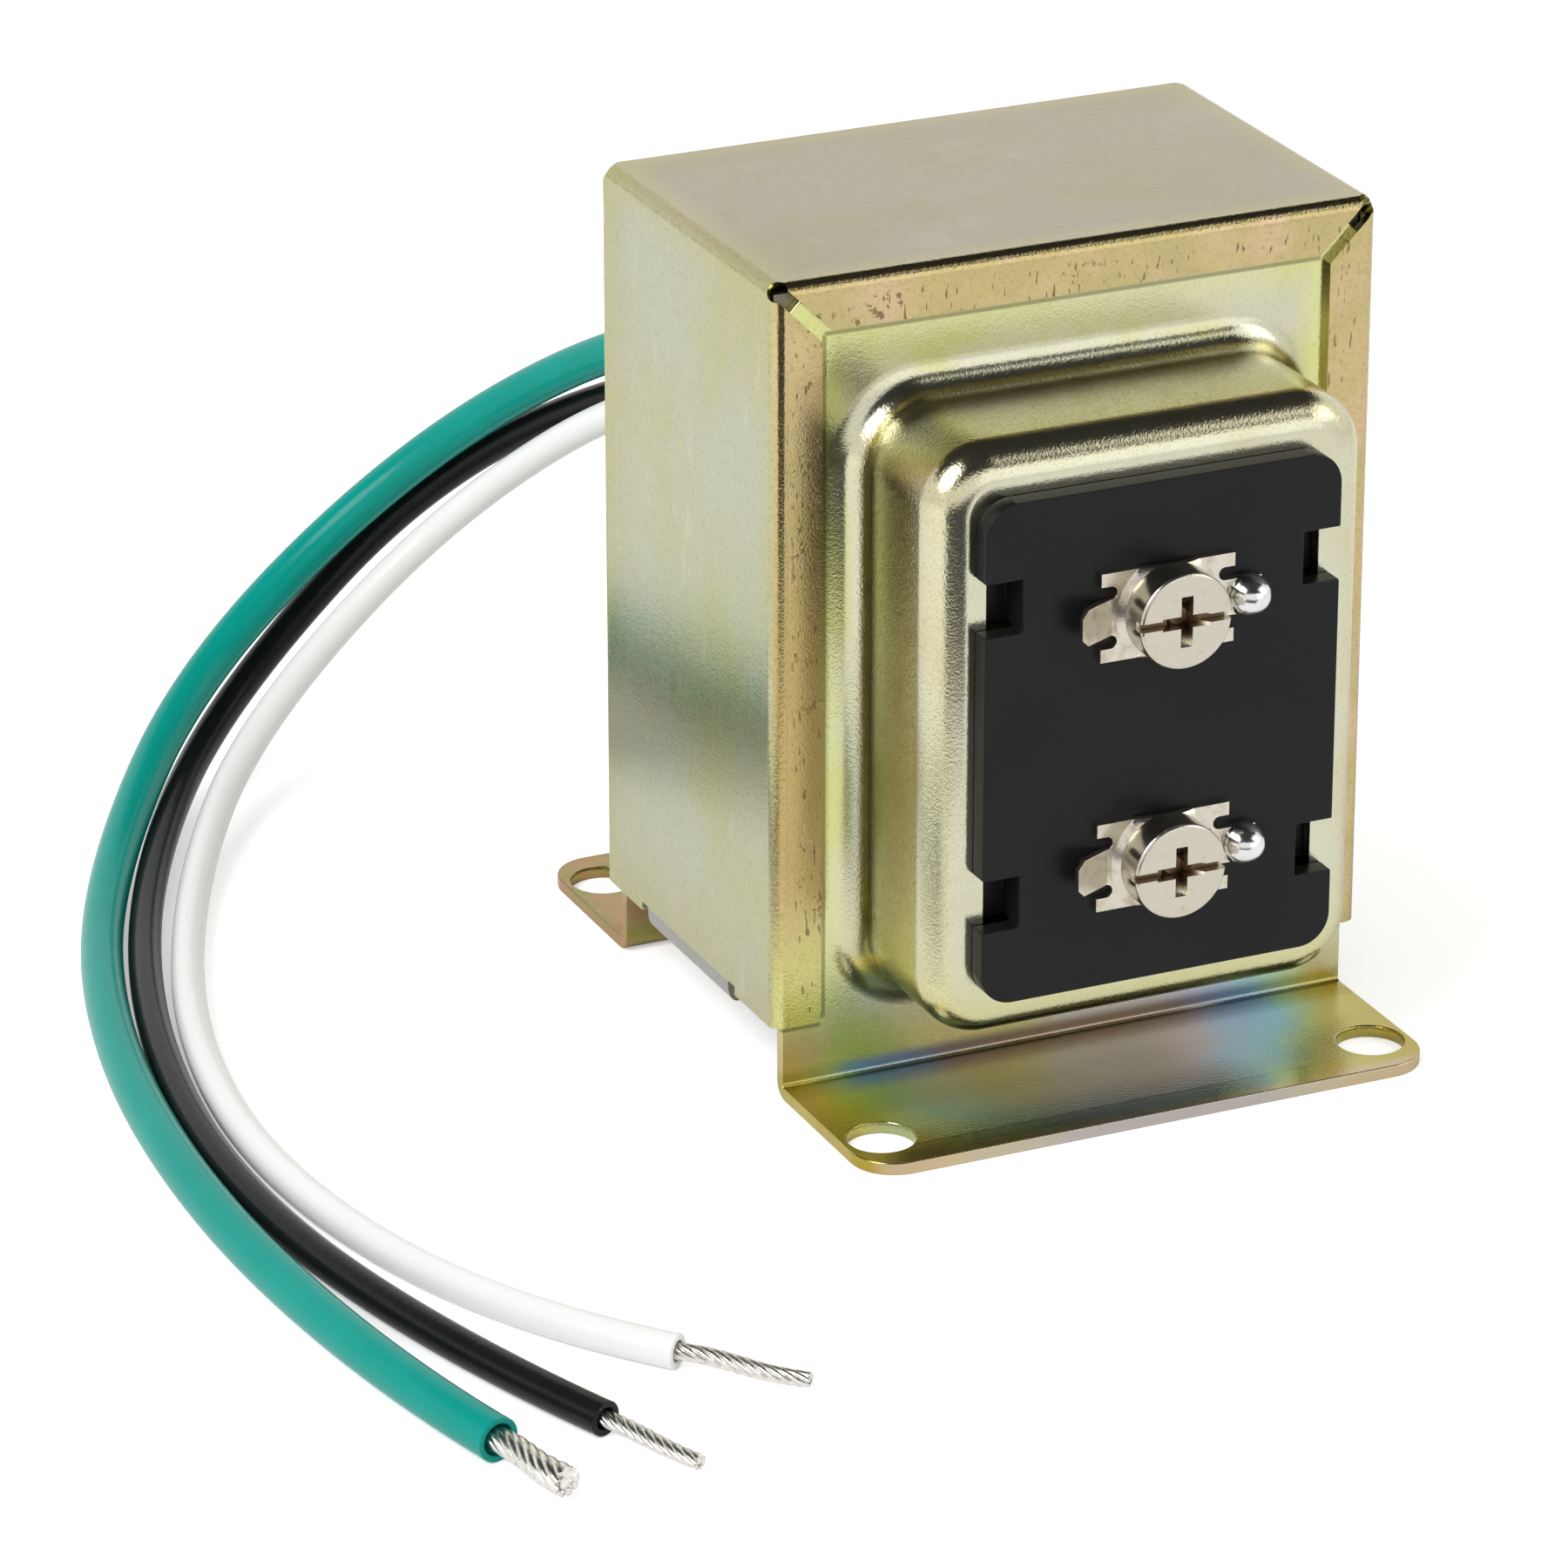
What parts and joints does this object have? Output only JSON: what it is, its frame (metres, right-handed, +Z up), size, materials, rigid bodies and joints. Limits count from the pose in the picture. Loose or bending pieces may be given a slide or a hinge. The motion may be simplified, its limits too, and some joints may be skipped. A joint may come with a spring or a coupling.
{
  "type": "doorbell transformer",
  "caption": "Chassis-mount doorbell transformer: laminated core in a folded plated-steel wrap, domed end bells with drilled feet, front screw terminals and stripped colour-coded leads.",
  "frame": {"origin": "centre of the foot holes, on the underside of the feet", "axes": "+X to the right along the front plate, terminals face -Y, +Z up"},
  "size_m": [0.0962, 0.1338, 0.0645],
  "materials": {
    "chromate_steel": "yellow chromate over zinc, satin, streaked along the bends",
    "lamination_steel": "bare silicon steel edges",
    "bobbin_nylon": "moulded, natural",
    "magnet_wire": "enamelled copper",
    "insulation_tape": "polyester film tape",
    "board_plastic": "moulded, fine matte",
    "nickel_plate": "nickel plated, slightly dull",
    "screw_steel": "nickel plated steel",
    "solder": "bright solder",
    "bushing_nylon": "moulded, black",
    "sleeve_pvc": "plain sleeve",
    "tinned_copper": "tinned strands",
    "green_pvc": "semi-gloss",
    "black_pvc": "semi-gloss",
    "white_pvc": "semi-gloss"
  },
  "bodies": {
    "root": {"housing_wrap": "chromate_steel", "front_end_bell": "chromate_steel", "rear_end_bell": "chromate_steel", "e_lamination_stack": "lamination_steel", "i_lamination_stack": "lamination_steel", "bobbin": "bobbin_nylon", "primary_winding": "magnet_wire", "primary_tape": "insulation_tape", "secondary_winding": "magnet_wire", "secondary_tape": "insulation_tape", "secondary_wire_upper": "magnet_wire", "secondary_wire_lower": "magnet_wire", "terminal_board": "board_plastic", "terminal_plate_upper": "nickel_plate", "terminal_plate_lower": "nickel_plate", "terminal_screw_upper": "screw_steel", "terminal_screw_lower": "screw_steel", "solder_joint_upper": "solder", "solder_joint_lower": "solder", "lead_bushing": "bushing_nylon", "black_splice_sleeve": "sleeve_pvc", "white_splice_sleeve": "sleeve_pvc", "ground_lug": "tinned_copper", "green_lead": "green_pvc", "black_lead": "black_pvc", "white_lead": "white_pvc", "green_conductor": "tinned_copper", "black_conductor": "tinned_copper", "white_conductor": "tinned_copper"}
  },
  "joints": []
}
